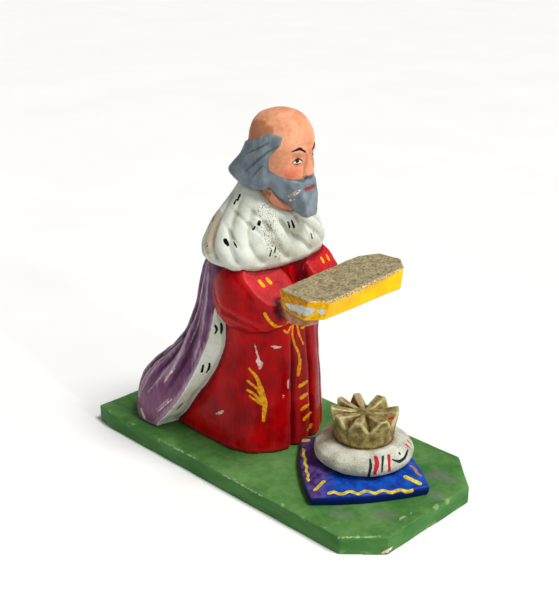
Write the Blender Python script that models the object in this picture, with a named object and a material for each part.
"""Kneeling wise man of a carved and painted wooden crib set.

Five pieces of wood: a board with cut corners, the kneeling figure, the casket on its hands, a cushion,
and a turban with its crown lying on the cushion. Run it with Blender 4.5; units are metres and +Z is up.
The origin is the middle of the board's underside, and the figure looks along +X.
"""
import math

import bmesh
import bpy
import numpy as np
from mathutils import Matrix, Vector

# Driving sizes in metres
FIT_GAP = 0.0003
PLINTH_LENGTH = 0.110
PLINTH_WIDTH = 0.054
PLINTH_THICKNESS = 0.0052
PLINTH_EDGE_WEAR = 0.0004
FIGURE_HEIGHT = 0.097
CASKET_LENGTH = 0.0420
CASKET_WIDTH = 0.0155
CASKET_THICKNESS = 0.0060
CASKET_DRAFT = 0.0012
CASKET_TWIST = -4.0
CUSHION_DIAGONAL_ALONG = 0.0430
CUSHION_NEAR_REACH = 0.02425
CUSHION_FAR_REACH = 0.0160
CUSHION_THICKNESS = 0.0040
CUSHION_SEAM_HEIGHT = 0.0013
TURBAN_RADIUS = 0.01375
TURBAN_HEIGHT = 0.0062
CROWN_RADIUS = 0.0076
CROWN_HEIGHT = 0.0094
CROWN_FLARE = 0.0022
CROWN_NOTCH_DEPTH = 0.0036
CROWN_NOTCH_SINK = 0.0012
CROWN_POINT_FLAT = 0.3

# Paint colours as linear red, green and blue
GREEN_PAINT = (0.06, 0.20, 0.05)
RED_PAINT = (0.45, 0.01, 0.02)
GOLD_PAINT = (0.80, 0.50, 0.02)
BLUE_PAINT = (0.01, 0.02, 0.30)
WHITE_PAINT = (0.60, 0.58, 0.50)

# Corner cuts of the board, each as (along its length, along its width)
NEAR_BACK_CUT = (0.0065, 0.0012)
NEAR_FRONT_CUT = (0.0088, 0.0085)
FAR_FRONT_CUT = (0.0116, 0.0112)
FAR_BACK_CUT = (0.0070, 0.0060)

# The figure is carved in parts of its own height, and 97 parts make the whole height
PART = FIGURE_HEIGHT / 97
FIGURE_BASE = PLINTH_THICKNESS + FIT_GAP
HAND_TOP = 48.4

# Rows of the robe: height, back, middle, front, half width, squareness of its back
ROBE = (
    (0.0, -36.0, -8.0, 6.6, 17.2, 5.0),
    (7.0, -33.0, -8.0, 6.8, 16.8, 4.5),
    (18.0, -27.0, -7.5, 6.6, 15.6, 3.4),
    (30.0, -22.0, -6.5, 5.8, 14.5, 2.6),
    (36.0, -20.4, -6.0, 5.2, 15.2, 2.3),
    (48.0, -19.0, -6.0, 4.4, 16.0, 2.3),
    (57.0, -17.0, -6.0, 3.6, 13.0, 2.3),
    (61.0, -14.0, -6.0, 2.0, 10.0, 2.3),
)
ROBE_LEVELS = (0, 3, 8, 14, 20, 26, 32, 36, 39, 41, 44, 50, 57, 61)
ROBE_SIDES = 56
ROBE_POWER = 2.3
ROBE_SHIFT = 0.8
# Grooves of the skirt: angle from the front in degrees, half width in degrees, depth
SKIRT_GROOVES = (
    (-13.0, 3.6, 1.5),
    (17.0, 3.6, 1.5),
    (44.0, 5.0, 1.1),
    (-48.0, 7.0, 0.45),
    (-72.0, 6.0, 0.35),
    (74.0, 6.0, 0.45),
)
SKIRT_GROOVE_TOP = 41.0
SKIRT_GROOVE_FADE = 14.0

# Rows of the cloak: height, back, middle, half width, ridge x, ridge half width, inner x, inner half width
CLOAK = (
    (0.0, -46.8, -35.0, 23.0, -31.0, 22.7, -29.6, 15.0),
    (5.0, -47.6, -34.0, 23.2, -26.5, 22.7, -25.5, 15.0),
    (12.5, -45.8, -31.0, 22.9, -21.0, 21.7, -20.5, 15.0),
    (19.0, -40.2, -27.0, 21.6, -17.6, 20.2, -15.6, 14.8),
    (24.0, -34.4, -22.5, 19.6, -15.8, 18.8, -12.8, 14.4),
    (32.0, -28.6, -16.0, 17.6, -12.6, 17.6, -9.8, 14.0),
    (40.0, -25.4, -12.0, 17.0, -10.6, 17.0, -8.2, 13.9),
    (50.0, -22.8, -9.0, 16.8, -8.8, 16.6, -7.2, 14.0),
    (57.0, -19.8, -8.0, 15.4, -7.8, 15.0, -6.8, 13.0),
    (61.0, -16.0, -8.0, 11.5, -7.8, 11.0, -6.8, 9.0),
)
CLOAK_LEVELS = (0, 2.5, 6, 10, 14, 18, 22, 26, 31, 37, 44, 51, 57, 61)
CLOAK_BACK_STEPS = 36
CLOAK_SIDE_STEPS = 3
CLOAK_EDGE_STEPS = 2
CLOAK_POWER = 2.8
# Lengthwise grooves of the cloak, as shares of the way from the near ridge round to the far one
CLOAK_GROOVES = (0.17, 0.31, 0.50, 0.69, 0.83)
CLOAK_GROOVE_DEPTH = 1.2
CLOAK_GROOVE_SHARE = 0.038

# Rows of the ermine cape: height, back, middle, front, half width, drop towards the front
CAPE = (
    (55.6, -17.0, -7.5, 2.0, 15.0, 0.5),
    (56.0, -20.0, -7.5, 4.2, 18.2, 0.5),
    (57.4, -21.2, -7.5, 5.2, 19.4, 0.5),
    (59.6, -21.4, -7.5, 5.3, 19.5, 0.5),
    (63.4, -20.2, -7.0, 4.8, 17.8, 0.9),
    (67.8, -17.4, -5.9, 4.6, 14.2, 2.0),
    (71.2, -14.6, -4.6, 4.4, 11.0, 3.4),
    (73.6, -12.4, -3.4, 4.2, 8.8, 4.4),
    (74.6, -10.0, -2.8, 3.0, 6.6, 4.6),
)
CAPE_LEVELS = (55.6, 56.0, 57.2, 59, 61.5, 64.5, 67.5, 70.5, 73.0, 74.6)
CAPE_POWER = 2.2
CAPE_GROOVES = 14
CAPE_GROOVE_DEPTH = 1.0
# How far round the cape each groove winds on its way down, in degrees
CAPE_GROOVE_TURN = 58.0
# One groove across: the share of its depth at each step
GOUGE_STEPS = (0.0, 0.35, 1.0, 0.45, 0.1, 0.0)

# The neck inside the cape: height, middle, radius
NECK = ((60, -4.0, 6.2), (70, -2.6, 6.0), (79, -1.0, 6.0))
NECK_SIDES = 16

# Rows of the head below and above its centre: height, back, front, half width
HEAD = (
    (-13.0, -4.0, 5.6, 3.2),
    (-11.4, -5.8, 7.4, 5.2),
    (-8.0, -7.6, 8.4, 7.0),
    (-4.0, -8.8, 8.7, 8.0),
    (-0.5, -9.3, 8.6, 8.4),
    (3.5, -9.2, 8.6, 8.2),
    (6.6, -8.5, 7.6, 7.2),
    (9.0, -6.8, 5.8, 5.5),
    (10.4, -3.8, 3.6, 3.4),
    (11.0, -1.4, 1.4, 1.3),
)
HEAD_LEVELS = (-13, -11, -9, -7, -5.5, -4, -2.5, -1, 0.2, 1.4, 3, 5.5, 8, 9.8, 11)
HEAD_SIDES = 36
HEAD_CENTRE = (-1.0, 0.0, 86.0)
HEAD_TURN = 10.0
HEAD_NOD = 4.0
HEAD_POWER = 2.1
# Gentle hollows (-) and swells (+) of the face: bearing and its half width, height and its half width, depth
FACE_RELIEF = (
    (25.0, 11.0, -1.0, 1.4, -0.8),
    (24.0, 15.0, 1.2, 0.9, 0.35),
    (40.0, 16.0, -4.6, 2.4, 0.5),
)

# Rows of the hair below and above the head's centre: height, back, front, half width, squareness
HAIR = (
    (-12.0, -8.0, 1.0, 5.0, 2.4),
    (-9.8, -12.2, 1.5, 7.8, 3.0),
    (-7.2, -14.6, 2.0, 8.7, 3.2),
    (-5.6, -13.6, 2.0, 8.8, 3.0),
    (-2.0, -11.0, 2.5, 8.9, 2.5),
    (2.0, -9.7, 3.0, 8.6, 2.2),
    (7.0, -8.2, 3.0, 7.8, 2.1),
)
HAIR_LEVELS = (-12.0, -9.8, -8.6, -7.2, -5.4, -2, 2, 7)
HAIR_SIDES = 26
# Knife cuts on the hair: a point of each plane, and the direction that it faces
HAIR_TOP_CUT = ((-6.0, 0.0, 2.2), (-0.34, 0.0, 0.94))
HAIR_FRONT_CUT = ((1.2, 0.0, 0.0), (1.0, 0.0, 0.12))

# Corners of the whittled parts of the head, measured from its centre, on its far side
NOSE_SIDE = [(7.4, 0.9, 1.0), (7.0, 1.9, -5.0), (10.4, 0.8, -4.6)]
NOSE_RIDGE = [(8.9, 0.0, 0.6)]
MOUSTACHE_SIDE = [(9.2, 0.6, -5.2), (7.6, 4.8, -8.8), (10.4, 2.4, -8.2)]
MOUSTACHE_RIDGE = [(10.9, 0.0, -7.0)]
BEARD_SIDE = [
    (-0.6, 8.7, -3.4),
    (1.0, 8.2, -8.8),
    (6.0, 6.6, -6.0),
    (9.2, 3.6, -6.8),
    (10.4, 3.4, -11.0),
    (11.2, 2.2, -16.2),
    (9.4, 2.4, -16.4),
    (2.0, 4.6, -12.4),
]
TEMPLE_LOCK = [
    (4.4, 7.1, 5.2),
    (4.2, 7.4, 3.6),
    (0.6, 8.9, -1.6),
    (-2.0, 8.6, 4.0),
    (1.0, 7.9, 5.6),
    (-1.0, 5.0, 1.0),
]

# Rows of one sleeve from back to front: x, outer side, inner side, underside, top
SLEEVE = (
    (-14.0, 13.0, 4.0, 40.0, 52.0),
    (-10.0, 17.4, 3.0, 36.6, 55.0),
    (-5.0, 18.7, 2.6, 35.4, 57.0),
    (0.0, 18.5, 2.4, 36.4, 57.0),
    (5.0, 17.2, 2.6, 38.2, 55.0),
    (8.6, 15.4, 3.6, 40.4, 51.0),
    (10.0, 13.6, 5.0, 42.4, 48.4),
)
SLEEVE_STATIONS = (-14, -11, -7.5, -3, 1, 4.5, 7.5, 9.2, 10)
SLEEVE_SIDES = 24
SLEEVE_POWER = 2.7
# The knife cut on top of each sleeve: a point of the plane, and the direction that it faces
SLEEVE_CUT_POINT = (8.0, 15.0, 48.8)
SLEEVE_CUT_FACING = (0.66, 0.16, 0.75)

# The hands, each from its wrist to its fingertips
NEAR_HAND = ((8.0, -10.5), (23.5, -12.5))
FAR_HAND = ((8.0, 11.0), (25.5, 6.0))
HAND_HALF_WIDTH = 3.8
HAND_THICKNESS = 4.2
# Steps along a hand: share of its length, share of its width, rise of its underside
HAND_STEPS = ((0.0, 0.9, 0.0), (0.5, 1.0, 0.2), (0.9, 0.8, 1.4), (1.0, 0.5, 2.6))
# How far the underside of a hand is drawn in from its edges, as a share of its half width
HAND_ROUNDING = 0.25

# The casket's back side and middle on the hands, and its turn in degrees
CASKET_BACK = 12.65
CASKET_MIDDLE = 3.0
CASKET_TURN = 4.8
# Its corner cuts from the near front one round to the near back one: along in metres, share of its width
CASKET_CUTS = ((0.0042, 0.28), (0.0053, 0.31), (0.0058, 0.23), (0.0022, 0.70))

# The pillow's middle across the board in metres, and the turn of its short diagonal in degrees
CUSHION_MIDDLE = 0.0022
CUSHION_TURN = 6.0
CUSHION_STEPS = 10
# How far each side swells, and where its top starts to fall to the seam, as shares of half a side
CUSHION_SIDE_BULGE = 0.10
CUSHION_PLUMP = 0.66

# The turban's roll from its underside round to the crown: share of its width, share of its height
TURBAN_ROLL = (
    (0.52, 0.0),
    (0.83, 0.08),
    (0.97, 0.28),
    (1.0, 0.45),
    (0.93, 0.68),
    (0.69, 0.88),
    (0.38, 1.0),
    (0.10, 0.95),
    (0.0, 0.84),
)
# The crown from the roll up and back into its dished middle: share of height, reach, share of a notch
CROWN_ROWS = (
    (0.25, 1.00, 0.00),
    (0.60, 0.97, 0.35),
    (1.00, 0.955, 1.00),
    (0.95, 0.64, 0.60),
    (0.87, 0.30, 0.20),
)
# Bearings of its hand-cut notches in degrees, with the steps from each one to the next
CROWN_NOTCHES = (-83.0, -40.0, 10.0, 75.0, 126.0, 163.0, 196.0, 236.0)
CROWN_STEPS = 6


def smooth_rows(rows, heights):
    """Read a table of rows at new heights, along one smooth curve for each column."""
    table = np.array(rows, dtype=float)
    knots = table[:, 0]
    values = table[:, 1:]
    steps = np.diff(knots)[:, None]
    slopes = np.diff(values, axis=0) / steps
    tangents = np.empty_like(values)
    tangents[0] = slopes[0]
    tangents[-1] = slopes[-1]
    product = slopes[:-1] * slopes[1:]
    harmonic = 2 * product / np.where(slopes[:-1] + slopes[1:] == 0, 1, slopes[:-1] + slopes[1:])
    tangents[1:-1] = np.where(product > 0, harmonic, 0)
    result = []
    for height in heights:
        k = int(np.clip(np.searchsorted(knots, height) - 1, 0, len(knots) - 2))
        span = knots[k + 1] - knots[k]
        t = (height - knots[k]) / span
        result.append(
            (2 * t**3 - 3 * t**2 + 1) * values[k]
            + (t**3 - 2 * t**2 + t) * span * tangents[k]
            + (3 * t**2 - 2 * t**3) * values[k + 1]
            + (t**3 - t**2) * span * tangents[k + 1]
        )
    return result


def oval(angle, back, middle, front, half_width, power):
    """A point on an oval whose back and front reach differ; angle 0 is its front."""
    cosine = math.cos(angle)
    sine = math.sin(angle)
    reach = front - middle if cosine >= 0 else middle - back
    x = middle + reach * math.copysign(abs(cosine) ** (2 / power), cosine)
    y = half_width * math.copysign(abs(sine) ** (2 / power), sine)
    return x, y


def dent(distance, half_width):
    """A rounded groove of depth 1 that fades out at about twice its half width."""
    return math.exp(-((distance / half_width) ** 2))


def ease(value, start, end):
    """Rise smoothly from 0 at start to 1 at end."""
    t = min(max((value - start) / (end - start), 0.0), 1.0)
    return t * t * (3 - 2 * t)


def figure_point(x, y, z):
    """A place in parts of the figure's height, as metres above the board."""
    return Vector((x * PART, y * PART, FIGURE_BASE + z * PART))


def new_object(name, work):
    """Turn finished bmesh work into an object."""
    bmesh.ops.recalc_face_normals(work, faces=work.faces)
    mesh = bpy.data.meshes.new(name)
    work.to_mesh(mesh)
    work.free()
    piece = bpy.data.objects.new(name, mesh)
    bpy.context.scene.collection.objects.link(piece)
    return piece


def loft(name, rings):
    """Close a stack of rings into one solid, with a flat cap at each end."""
    work = bmesh.new()
    loops = [[work.verts.new(point) for point in ring] for ring in rings]
    for lower, upper in zip(loops, loops[1:]):
        for k in range(len(lower)):
            work.faces.new((lower[k - 1], lower[k], upper[k], upper[k - 1]))
    work.faces.new(loops[0])
    work.faces.new(loops[-1])
    return new_object(name, work)


def whittled(name, points):
    """A knife-cut block: the flat-sided hull round a few corner points."""
    work = bmesh.new()
    for point in points:
        work.verts.new(point)
    hull = bmesh.ops.convex_hull(work, input=work.verts)
    inside = hull["geom_interior"] + hull["geom_unused"]
    unused = [item for item in inside if isinstance(item, bmesh.types.BMVert)]
    bmesh.ops.delete(work, geom=unused, context="VERTS")
    return new_object(name, work)


def knife_cut(piece, point, facing):
    """Take off everything in front of a plane and close the cut flat."""
    work = bmesh.new()
    work.from_mesh(piece.data)
    whole = work.verts[:] + work.edges[:] + work.faces[:]
    cut = bmesh.ops.bisect_plane(work, geom=whole, plane_co=point, plane_no=facing, clear_outer=True)
    edges = [item for item in cut["geom_cut"] if isinstance(item, bmesh.types.BMEdge)]
    bmesh.ops.edgeloop_fill(work, edges=edges)
    bmesh.ops.recalc_face_normals(work, faces=work.faces)
    work.to_mesh(piece.data)
    work.free()


def carve_together(base, others, solver):
    """Join carved forms into the base as one solid."""
    for other in others:
        other.hide_render = True
        other.display_type = "WIRE"
        joint = base.modifiers.new(other.name, "BOOLEAN")
        joint.operation = "UNION"
        joint.solver = solver
        joint.object = other


def paint(piece, colour, roughness, metallic=0.0):
    """Give a piece its own painted finish."""
    finish = bpy.data.materials.new(piece.name + "_finish")
    finish.use_nodes = True
    shader = finish.node_tree.nodes["Principled BSDF"]
    shader.inputs["Base Color"].default_value = (*colour, 1)
    shader.inputs["Roughness"].default_value = roughness
    shader.inputs["Metallic"].default_value = metallic
    finish.diffuse_color = (*colour, 1)
    piece.data.materials.append(finish)


def cut_corner_outline(length, width, cuts):
    """Corners of a board, counter-clockwise from the near back one, each cut off by its own amounts."""
    signs = ((-1, -1), (1, -1), (1, 1), (-1, 1))
    outline = []
    for turn, ((along, across), (sign_x, sign_y)) in enumerate(zip(cuts, signs)):
        corner_x = sign_x * length / 2
        corner_y = sign_y * width / 2
        on_side = (corner_x, corner_y - sign_y * across)
        on_edge = (corner_x - sign_x * along, corner_y)
        outline += [on_side, on_edge] if turn % 2 == 0 else [on_edge, on_side]
    return outline


def make_plinth():
    """The board, with its worn edges."""
    cuts = (NEAR_BACK_CUT, NEAR_FRONT_CUT, FAR_FRONT_CUT, FAR_BACK_CUT)
    outline = cut_corner_outline(PLINTH_LENGTH, PLINTH_WIDTH, cuts)
    rings = [[(x, y, z) for x, y in outline] for z in (0, PLINTH_THICKNESS)]
    plinth = loft("plinth", rings)
    wear = plinth.modifiers.new("worn edges", "BEVEL")
    wear.width = PLINTH_EDGE_WEAR
    wear.segments = 2
    paint(plinth, GREEN_PAINT, 0.55)


def make_robe():
    """The robe, from the shoulders to the floor, with the folds of its skirt."""
    rings = []
    for height, row in zip(ROBE_LEVELS, smooth_rows(ROBE, ROBE_LEVELS)):
        back, middle, front, half_width, back_power = row
        ring = []
        for k in range(ROBE_SIDES):
            angle = 2 * math.pi * k / ROBE_SIDES
            power = ROBE_POWER if math.cos(angle) >= 0 else back_power
            x, y = oval(angle, back, middle, front, half_width, power)
            bearing = math.degrees(math.atan2(y, x - middle))
            strength = 1 - ease(height, SKIRT_GROOVE_TOP - SKIRT_GROOVE_FADE, SKIRT_GROOVE_TOP)
            depth = sum(d * dent(bearing - at, width) for at, width, d in SKIRT_GROOVES) * strength
            inward = 1 - depth / math.hypot(x - middle, y)
            ring.append(figure_point(middle + (x - middle) * inward, y * inward + ROBE_SHIFT, height))
        rings.append(ring)
    return loft("robe_form", rings)


def cloak_section(row, height):
    """One level of the cloak: round its back, along its sides, and over its thick front edges."""
    back, middle, half_width, ridge_x, ridge_w, inner_x, inner_w = row
    side = []
    for k in range(CLOAK_EDGE_STEPS):
        t = k / CLOAK_EDGE_STEPS
        side.append((inner_x + (ridge_x - inner_x) * t, inner_w + (ridge_w - inner_w) * t))
    for k in range(CLOAK_SIDE_STEPS):
        t = k / CLOAK_SIDE_STEPS
        side.append((ridge_x + (middle - ridge_x) * t, ridge_w + (half_width - ridge_w) * t))
    near = [(x, -y) for x, y in side]
    far = [(x, y) for x, y in reversed(side)]
    arc = []
    strength = ease(height, 2, 9) * (1 - 0.6 * ease(height, 46, 58))
    for k in range(CLOAK_BACK_STEPS + 1):
        share = k / CLOAK_BACK_STEPS
        angle = -math.pi / 2 - math.pi * share
        x, y = oval(angle, back, middle, middle, half_width, CLOAK_POWER)
        depth = CLOAK_GROOVE_DEPTH * strength
        depth *= sum(dent(share - at, CLOAK_GROOVE_SHARE) for at in CLOAK_GROOVES)
        inward = 1 - depth / math.hypot(x - middle, y)
        arc.append((middle + (x - middle) * inward, y * inward))
    return near + arc + far


def make_cloak():
    """The long cloak that falls from the shoulders and spreads over the feet."""
    rings = []
    for height, row in zip(CLOAK_LEVELS, smooth_rows(CLOAK, CLOAK_LEVELS)):
        rings.append([figure_point(x, y, height) for x, y in cloak_section(row, height)])
    return loft("cloak_form", rings)


def cape_bearings(share):
    """Angles round the cape at a share of its height, each with its share of the groove's depth."""
    steps = CAPE_GROOVES * len(GOUGE_STEPS)
    wound = math.radians(CAPE_GROOVE_TURN) * (1 - share)
    return [(wound + 2 * math.pi * k / steps, GOUGE_STEPS[k % len(GOUGE_STEPS)]) for k in range(steps)]


def make_cape():
    """The ermine cape, a bell with slanting gouged grooves."""
    lowest = CAPE_LEVELS[0]
    highest = CAPE_LEVELS[-1]
    rings = []
    for height, row in zip(CAPE_LEVELS, smooth_rows(CAPE, CAPE_LEVELS)):
        back, middle, front, half_width, drop = row
        share = (height - lowest) / (highest - lowest)
        strength = 0.3 + 0.7 * ease(share, 0.02, 0.16)
        strength *= 1 - ease(share, 0.62, 0.95)
        ring = []
        for bearing, gouge in cape_bearings(share):
            x, y = oval(bearing, back, middle, front, half_width, CAPE_POWER)
            inward = 1 - CAPE_GROOVE_DEPTH * gouge * strength / math.hypot(x - middle, y)
            x = middle + (x - middle) * inward
            level = height - drop * (x - middle) / (front - middle if x > middle else middle - back)
            ring.append(figure_point(x, y * inward, level))
        rings.append(ring)
    return loft("cape_form", rings)


def head_turn():
    """How the head is turned to its left and nodded down."""
    return Matrix.Rotation(math.radians(HEAD_TURN), 3, "Z") @ Matrix.Rotation(math.radians(HEAD_NOD), 3, "Y")


def head_place(x, y, z):
    """A place measured from the head's centre, turned and nodded with the head."""
    return figure_point(*(head_turn() @ Vector((x, y, z)) + Vector(HEAD_CENTRE)))


def head_ring(height, sides, back, front, half_width, power):
    """One level of the head or its hair, with the face's relief."""
    ring = []
    for k in range(sides):
        angle = 2 * math.pi * k / sides
        x, y = oval(angle, back, 0, front, half_width, power)
        bearing = abs(math.degrees(math.atan2(y, x)))
        relief = sum(
            depth * dent(bearing - at, wide) * dent(height - level, tall)
            for at, wide, level, tall, depth in FACE_RELIEF
        )
        outward = 1 + relief / math.hypot(x, y)
        ring.append(head_place(x * outward, y * outward, height))
    return ring


def make_head():
    """The bald head as an egg with the face's hollows, before hair, beard and nose."""
    rings = []
    for height, row in zip(HEAD_LEVELS, smooth_rows(HEAD, HEAD_LEVELS)):
        rings.append(head_ring(height, HEAD_SIDES, *row, HEAD_POWER))
    return loft("head_form", rings)


def both_sides(points):
    """Points on one side of the middle plane, and their mirror images."""
    return points + [(x, -y, z) for x, y, z in points]


def make_nose():
    """The nose as one wedge cut."""
    corners = both_sides(NOSE_SIDE) + NOSE_RIDGE
    return whittled("nose_form", [head_place(*point) for point in corners])


def make_hair():
    """The hair from ear to ear round the back, flaring out at the nape, cut flat on top and in front."""
    rings = []
    for height, row in zip(HAIR_LEVELS, smooth_rows(HAIR, HAIR_LEVELS)):
        back, front, half_width, power = row
        ring = []
        for k in range(HAIR_SIDES):
            x, y = oval(2 * math.pi * k / HAIR_SIDES, back, 0, front, half_width, power)
            ring.append(head_place(x, y, height))
        rings.append(ring)
    hair = loft("hair_form", rings)
    for point, facing in (HAIR_TOP_CUT, HAIR_FRONT_CUT):
        knife_cut(hair, head_place(*point), head_turn() @ Vector(facing))
    return hair


def make_temple_lock(side):
    """The pointed lock that lies forward on one temple."""
    name = "temple_lock_form" if side < 0 else "far_temple_lock_form"
    return whittled(name, [head_place(x, side * y, z) for x, y, z in TEMPLE_LOCK])


def make_beard():
    """The full beard, from the ears along the jaw to its square-cut tip."""
    return whittled("beard_form", [head_place(*point) for point in both_sides(BEARD_SIDE)])


def make_moustache():
    """The moustache, two short slopes under the nose."""
    corners = both_sides(MOUSTACHE_SIDE) + MOUSTACHE_RIDGE
    return whittled("moustache_form", [head_place(*point) for point in corners])


def make_neck():
    """The neck, from inside the cape up into the head."""
    rings = []
    angles = [2 * math.pi * k / NECK_SIDES for k in range(NECK_SIDES)]
    for height, middle, radius in NECK:
        around = [(middle + radius * math.cos(a), radius * math.sin(a)) for a in angles]
        rings.append([figure_point(x, y, height) for x, y in around])
    return loft("neck_form", rings)


def make_sleeve(side):
    """One wide sleeve with the flat knife cut on its top; side is -1 near, 1 far."""
    rings = []
    for station, row in zip(SLEEVE_STATIONS, smooth_rows(SLEEVE, SLEEVE_STATIONS)):
        outer, inner, low, high = row
        ring = []
        for k in range(SLEEVE_SIDES):
            angle = 2 * math.pi * k / SLEEVE_SIDES
            y, z = oval(angle, inner, (outer + inner) / 2, outer, (high - low) / 2, SLEEVE_POWER)
            ring.append(figure_point(station, side * y, z + (high + low) / 2))
        rings.append(ring)
    sleeve = loft("sleeve_form" if side < 0 else "far_sleeve_form", rings)
    x, y, z = SLEEVE_CUT_POINT
    facing = Vector(SLEEVE_CUT_FACING)
    knife_cut(sleeve, figure_point(x, side * y, z), Vector((facing.x, side * facing.y, facing.z)))
    return sleeve


def make_hand(name, wrist, tip):
    """One flat hand under the casket, from wrist to fingertips, both as (x, y)."""
    start = Vector(wrist)
    along = Vector(tip) - start
    across = Vector((-along.y, along.x)).normalized() * HAND_HALF_WIDTH
    corners = []
    for share, wide, rise in HAND_STEPS:
        for edge in (-1, 1):
            top = start + along * share + across * (edge * wide)
            low = top - across * (edge * HAND_ROUNDING)
            corners.append(figure_point(*top, HAND_TOP))
            corners.append(figure_point(*low, HAND_TOP - HAND_THICKNESS + rise))
    return whittled(name, corners)


def make_king():
    """The whole kneeling figure, one carving."""
    king = make_robe()
    king.name = "king"
    king.data.name = "king"
    body = [
        make_cloak(),
        make_sleeve(-1),
        make_sleeve(1),
        make_hand("hand_form", *NEAR_HAND),
        make_hand("far_hand_form", *FAR_HAND),
        make_cape(),
        make_neck(),
        make_head(),
    ]
    carve_together(king, body, "EXACT")
    # The exact solver loses the whole figure where hair, head and cape all meet
    head_dress = [
        make_hair(),
        make_temple_lock(-1),
        make_temple_lock(1),
        make_beard(),
        make_nose(),
        make_moustache(),
    ]
    carve_together(king, head_dress, "MANIFOLD")
    paint(king, RED_PAINT, 0.35)


def make_casket():
    """The casket, a long slab with cut corners, smaller and a little twisted at its underside."""
    cuts = [(along, share * CASKET_WIDTH) for along, share in CASKET_CUTS]
    outline = cut_corner_outline(CASKET_LENGTH, CASKET_WIDTH, cuts)
    rings = []
    for inset, twist, z in ((CASKET_DRAFT, CASKET_TWIST, 0.0), (0.0, 0.0, CASKET_THICKNESS)):
        shrink_x = 1 - 2 * inset / CASKET_LENGTH
        shrink_y = 1 - 2 * inset / CASKET_WIDTH
        turn = Matrix.Rotation(math.radians(twist), 3, "Z")
        # The outline's length runs across the figure, so its x becomes y and its y becomes -x
        rings.append([turn @ Vector((-y * shrink_y, x * shrink_x, z)) for x, y in outline])
    casket = loft("casket", rings)
    seat = figure_point(CASKET_BACK, CASKET_MIDDLE, HAND_TOP)
    casket.location = seat + Vector((CASKET_WIDTH / 2, 0, FIT_GAP))
    casket.rotation_euler.z = math.radians(CASKET_TURN)
    paint(casket, GOLD_PAINT, 0.45)


def cushion_centre():
    """The pillow's middle: one of its corners points at the robe and clears it."""
    robe_front = ROBE[0][3] * PART
    return robe_front + 2 * FIT_GAP + CUSHION_DIAGONAL_ALONG / 2, CUSHION_MIDDLE


def cushion_place(u, v):
    """A spot on the pillow from its two edge directions, each -1 to 1, with sides that swell outwards."""
    swell_u = u * (1 + CUSHION_SIDE_BULGE * (1 - v * v))
    swell_v = v * (1 + CUSHION_SIDE_BULGE * (1 - u * u))
    x = (swell_u + swell_v) / 2 * CUSHION_DIAGONAL_ALONG / 2
    across = (swell_v - swell_u) / 2
    y = across * (CUSHION_FAR_REACH if across > 0 else CUSHION_NEAR_REACH)
    return x, y


def make_cushion():
    """The pillow: four corners, plump in the middle, thin along its seam."""
    work = bmesh.new()
    top = {}
    low = {}
    rim = CUSHION_SEAM_HEIGHT * 2
    for i in range(CUSHION_STEPS + 1):
        for j in range(CUSHION_STEPS + 1):
            u = 2 * i / CUSHION_STEPS - 1
            v = 2 * j / CUSHION_STEPS - 1
            x, y = cushion_place(u, v)
            plump = 1 - ease(max(abs(u), abs(v)), CUSHION_PLUMP, 1.0)
            top[i, j] = work.verts.new((x, y, rim + (CUSHION_THICKNESS - rim) * plump))
            low[i, j] = work.verts.new((x, y, 0))
    for i in range(CUSHION_STEPS):
        for j in range(CUSHION_STEPS):
            work.faces.new((top[i, j], top[i + 1, j], top[i + 1, j + 1], top[i, j + 1]))
            work.faces.new((low[i, j], low[i, j + 1], low[i + 1, j + 1], low[i + 1, j]))
    around = [(i, 0) for i in range(CUSHION_STEPS)]
    around += [(CUSHION_STEPS, j) for j in range(CUSHION_STEPS)]
    around += [(i, CUSHION_STEPS) for i in range(CUSHION_STEPS, 0, -1)]
    around += [(0, j) for j in range(CUSHION_STEPS, 0, -1)]
    for here, there in zip(around, around[1:] + around[:1]):
        work.faces.new((low[here], low[there], top[there], top[here]))
    cushion = new_object("cushion", work)
    cushion.location = (*cushion_centre(), PLINTH_THICKNESS + FIT_GAP)
    cushion.rotation_euler.z = math.radians(CUSHION_TURN)
    paint(cushion, BLUE_PAINT, 0.40)


def make_crowned_turban():
    """The turban as a fat ring, with the notched and flared crown standing in it."""
    angles = []
    for start, end in zip(CROWN_NOTCHES, CROWN_NOTCHES[1:] + (CROWN_NOTCHES[0] + 360,)):
        angles += [math.radians(start + (end - start) * k / CROWN_STEPS) for k in range(CROWN_STEPS)]
    rings = []
    for wide, high in TURBAN_ROLL:
        radius = CROWN_RADIUS + (TURBAN_RADIUS - CROWN_RADIUS) * wide
        rings.append([(radius * math.cos(a), radius * math.sin(a), TURBAN_HEIGHT * high) for a in angles])
    crown_seat = TURBAN_HEIGHT * TURBAN_ROLL[-1][1]
    for share, reach, cut in CROWN_ROWS:
        ring = []
        for k, angle in enumerate(angles):
            away = abs((k % CROWN_STEPS) / CROWN_STEPS * 2 - 1)
            notch = cut * max(away - CROWN_POINT_FLAT, 0) / (1 - CROWN_POINT_FLAT)
            radius = (CROWN_RADIUS + CROWN_FLARE * share) * reach - CROWN_NOTCH_SINK * notch
            level = crown_seat + CROWN_HEIGHT * share - CROWN_NOTCH_DEPTH * notch
            ring.append((radius * math.cos(angle), radius * math.sin(angle), level))
        rings.append(ring)
    piece = loft("crowned_turban", rings)
    piece.location = (*cushion_centre(), PLINTH_THICKNESS + FIT_GAP + CUSHION_THICKNESS + FIT_GAP)
    paint(piece, WHITE_PAINT, 0.60)


def main():
    """Clear the scene and make the five pieces."""
    for old in list(bpy.data.objects):
        bpy.data.objects.remove(old)
    make_plinth()
    make_king()
    make_casket()
    make_cushion()
    make_crowned_turban()


main()
